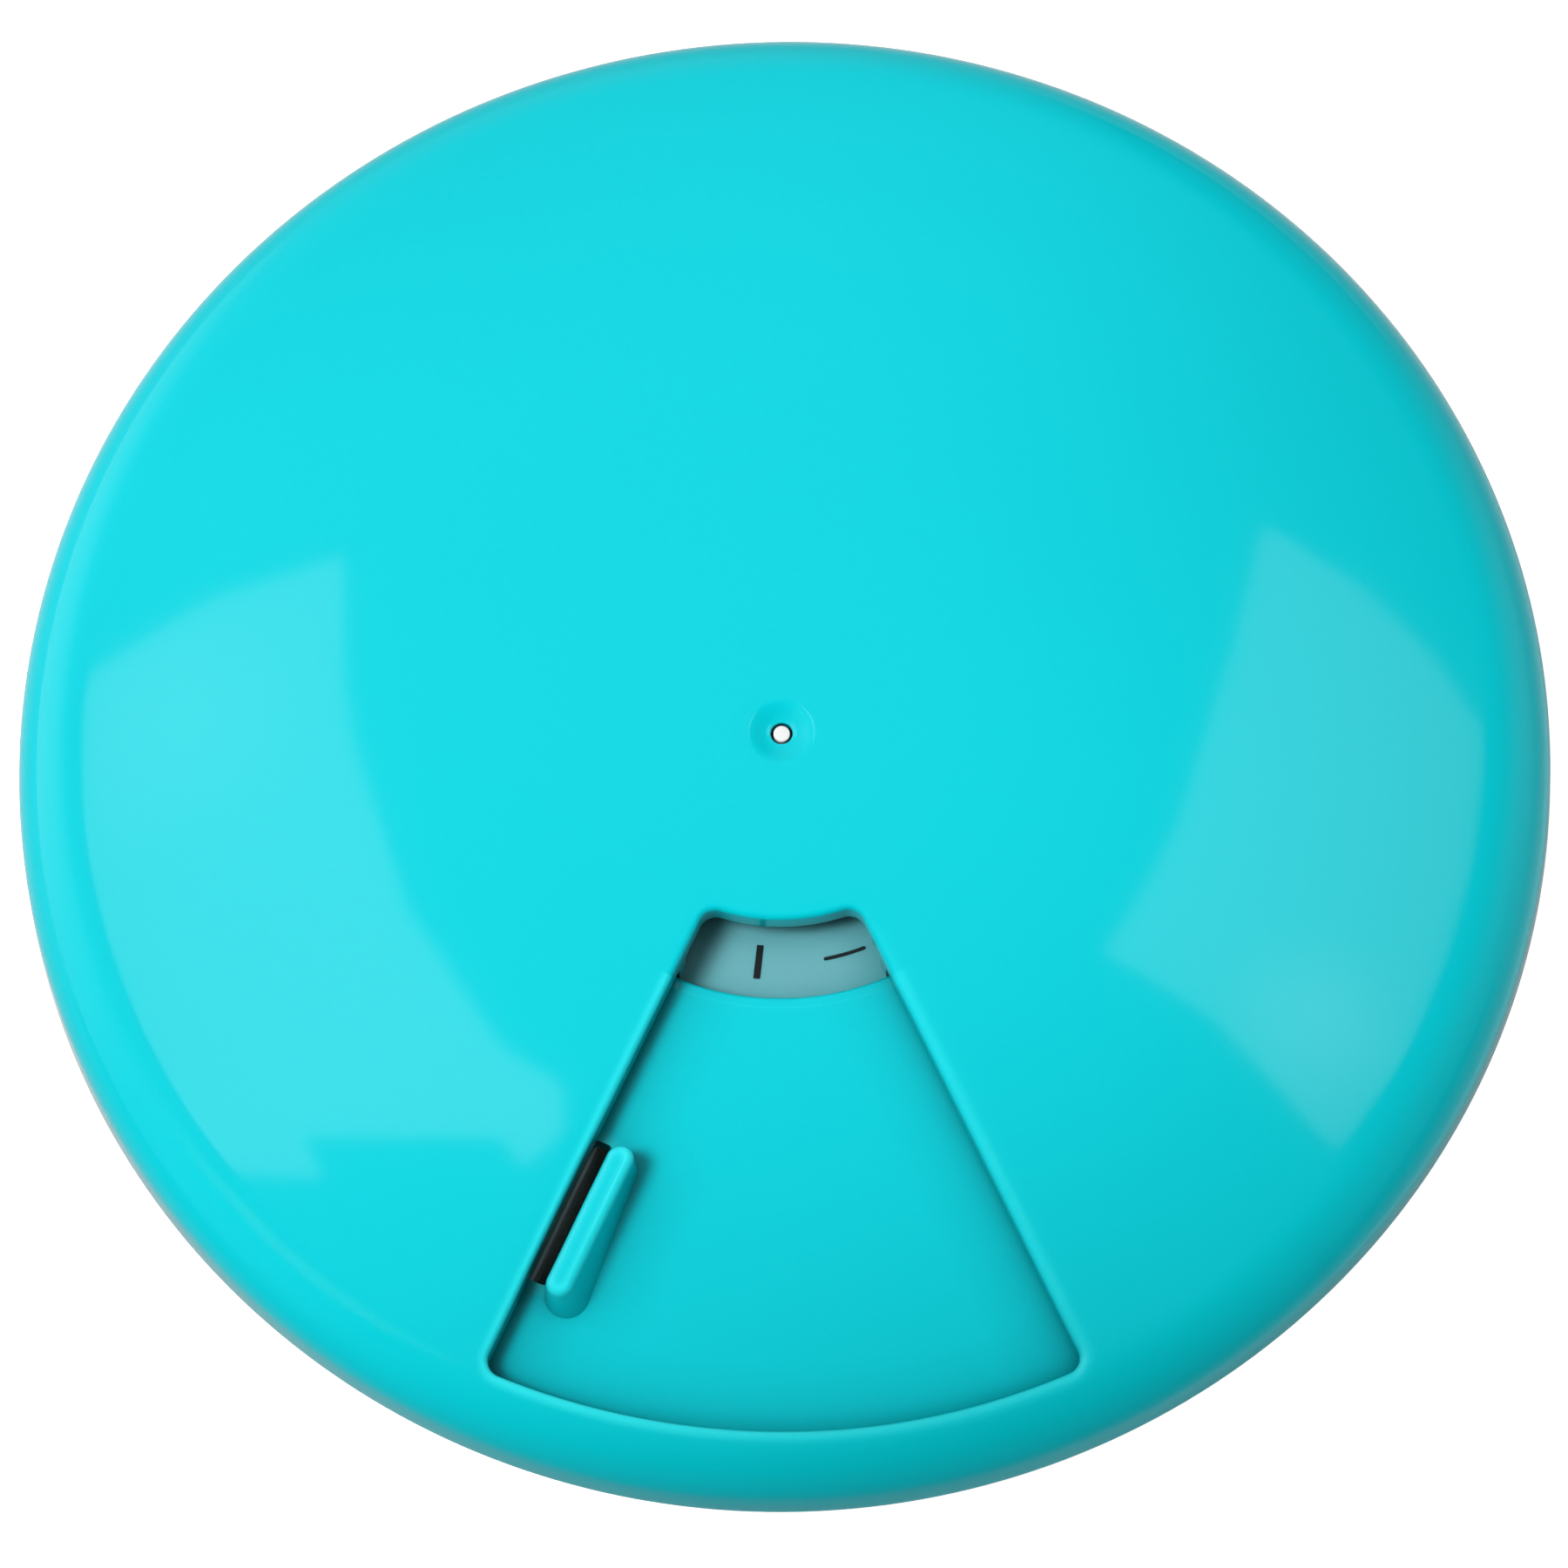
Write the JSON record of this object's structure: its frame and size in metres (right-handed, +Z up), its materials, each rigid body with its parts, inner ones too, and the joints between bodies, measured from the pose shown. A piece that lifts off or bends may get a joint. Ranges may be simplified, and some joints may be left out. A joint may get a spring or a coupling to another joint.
{
  "type": "rotating pill organizer",
  "caption": "Round domed pill organizer with a turning cover, a wedge-shaped window, a sliding shutter with a finger grip, and a compartment tray round a central pivot.",
  "frame": {"origin": "centre of the foot's underside, on the table", "axes": "+Z up along the pivot, -Y towards the window, +X to the right of someone facing the window"},
  "size_m": [0.0919, 0.092, 0.026],
  "materials": {
    "cyan_plastic": "gloss moulded",
    "white_plastic": "moulded",
    "milky_plastic": "milky, fine satin",
    "grey_white_plastic": "satin with dark print",
    "spring_steel": "bright strip"
  },
  "bodies": {
    "base": {"tray": "milky_plastic", "number_ring": "grey_white_plastic", "click_spring": "spring_steel", "spring_washer": "spring_steel"},
    "cover": {"cover": "cyan_plastic", "guide_plate": "white_plastic", "pivot_pin": "white_plastic"},
    "shutter": {"shutter": "cyan_plastic"}
  },
  "joints": [
    {"name": "cover_turn", "type": "hinge", "parent": "base", "child": "cover", "pos_m": [0, 0, 0.02], "axis": [0, 0, 1], "continuous": true},
    {"name": "shutter_turn", "type": "hinge", "parent": "cover", "child": "shutter", "pos_m": [0, 0, 0.022], "axis": [0, 0, 1], "range_deg": [0, 42]}
  ]
}
